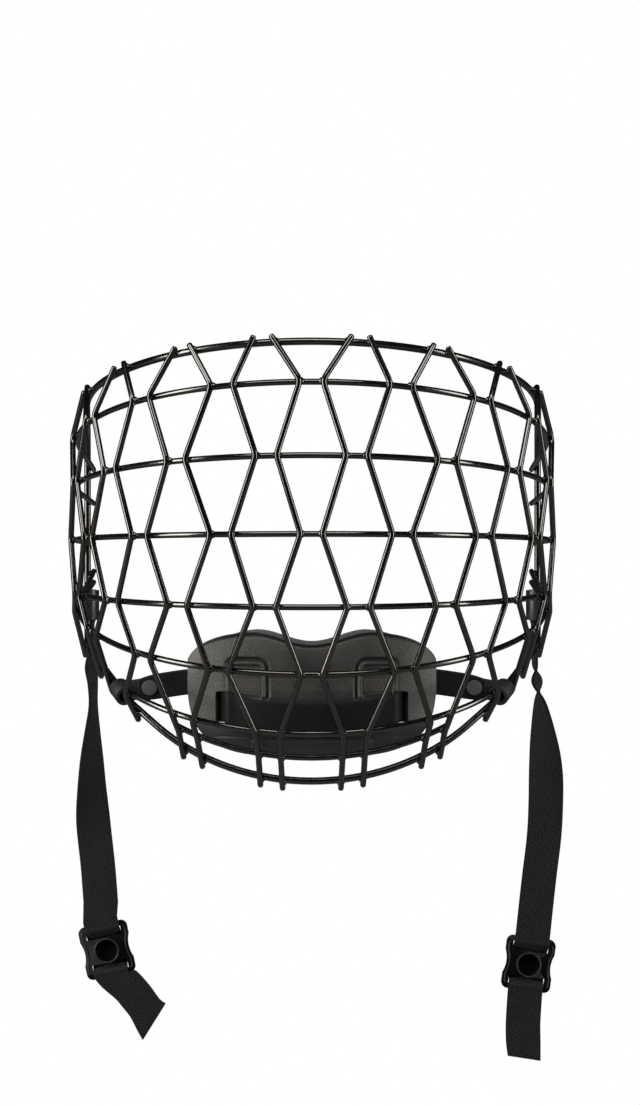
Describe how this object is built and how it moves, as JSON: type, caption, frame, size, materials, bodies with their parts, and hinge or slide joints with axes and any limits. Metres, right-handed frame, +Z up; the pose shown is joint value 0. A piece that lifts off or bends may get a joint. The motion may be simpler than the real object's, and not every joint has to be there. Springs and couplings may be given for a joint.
{
  "type": "ringette face mask",
  "caption": "Welded wire face cage with zigzag uprights, a hung chin cup and two side straps with sliding snap sockets.",
  "frame": {"origin": "centre of the top edge wire at its front, where the helmet's forehead clips hold it", "axes": "+Z up, +X to the right as seen from the front, +Y from the front of the cage back toward the face"},
  "size_m": [0.2321, 0.1773, 0.333],
  "materials": {
    "cage_wire": "glossy black dip coat on steel wire",
    "keeper_plastic": "black moulded plastic",
    "webbing": "black woven polypropylene webbing",
    "slider_plastic": "black moulded plastic with a satin face",
    "chin_fitting": "black moulded plastic",
    "chin_strap_rubber": "smooth dark flexible rubber",
    "cup_rubber": "moulded matte rubber with a fine grain",
    "liner_foam": "closed foam with a matte skin"
  },
  "bodies": {
    "cage": {"edge_wire": "cage_wire", "bar_1": "cage_wire", "bar_2": "cage_wire", "bar_3": "cage_wire", "bar_4": "cage_wire", "bar_5": "cage_wire", "bar_6": "cage_wire", "bar_7": "cage_wire", "upright_left_1": "cage_wire", "upright_left_2": "cage_wire", "upright_left_3": "cage_wire", "upright_left_4": "cage_wire", "upright_left_5": "cage_wire", "upright_left_6": "cage_wire", "upright_left_7": "cage_wire", "upright_left_8": "cage_wire", "upright_right_1": "cage_wire", "upright_right_2": "cage_wire", "upright_right_3": "cage_wire", "upright_right_4": "cage_wire", "upright_right_5": "cage_wire", "upright_right_6": "cage_wire", "upright_right_7": "cage_wire", "upright_right_8": "cage_wire"},
    "keeper_left": {"side_keeper_left": "keeper_plastic"},
    "hanging_strap_left": {"strap_fold_left": "webbing", "strap_left": "webbing"},
    "slider_left": {"snap_slider_left": "slider_plastic", "strap_tail_left": "webbing"},
    "keeper_right": {"side_keeper_right": "keeper_plastic"},
    "hanging_strap_right": {"strap_fold_right": "webbing", "strap_right": "webbing"},
    "slider_right": {"snap_slider_right": "slider_plastic", "strap_tail_right": "webbing"},
    "chin_assembly": {"chin_keeper_left": "chin_fitting", "chin_keeper_right": "chin_fitting", "chin_rivet_left": "chin_fitting", "chin_rivet_right": "chin_fitting", "chin_strap": "chin_strap_rubber", "chin_cup_shell": "cup_rubber", "chin_cup_liner": "liner_foam"}
  },
  "joints": [
    {"name": "left_keeper_swivel", "type": "hinge", "parent": "cage", "child": "keeper_left", "pos_m": [-0.106, 0.14, -0.112], "axis": [0, 0, 1], "range_deg": [-60, 80]},
    {"name": "left_strap_swing", "type": "hinge", "parent": "keeper_left", "child": "hanging_strap_left", "pos_m": [-0.106, 0.1537, -0.1168], "axis": [0, 1, 0], "range_deg": [-50, 70]},
    {"name": "left_slider_slide", "type": "slide", "parent": "hanging_strap_left", "child": "slider_left", "axis": [0, 0, 1], "range_m": [-0.01, 0.03], "deforming": ["strap_left"]},
    {"name": "right_keeper_swivel", "type": "hinge", "parent": "cage", "child": "keeper_right", "pos_m": [0.106, 0.14, -0.112], "axis": [0, 0, 1], "range_deg": [-80, 60]},
    {"name": "right_strap_swing", "type": "hinge", "parent": "keeper_right", "child": "hanging_strap_right", "pos_m": [0.106, 0.1537, -0.1168], "axis": [0, 1, 0], "range_deg": [-70, 50]},
    {"name": "right_slider_slide", "type": "slide", "parent": "hanging_strap_right", "child": "slider_right", "axis": [0, 0, 1], "range_m": [-0.01, 0.03], "deforming": ["strap_right"]},
    {"name": "chin_cup_tilt", "type": "hinge", "parent": "cage", "child": "chin_assembly", "pos_m": [0, 0.0578, -0.1482], "axis": [1, 0, 0], "range_deg": [-12, 12]}
  ]
}
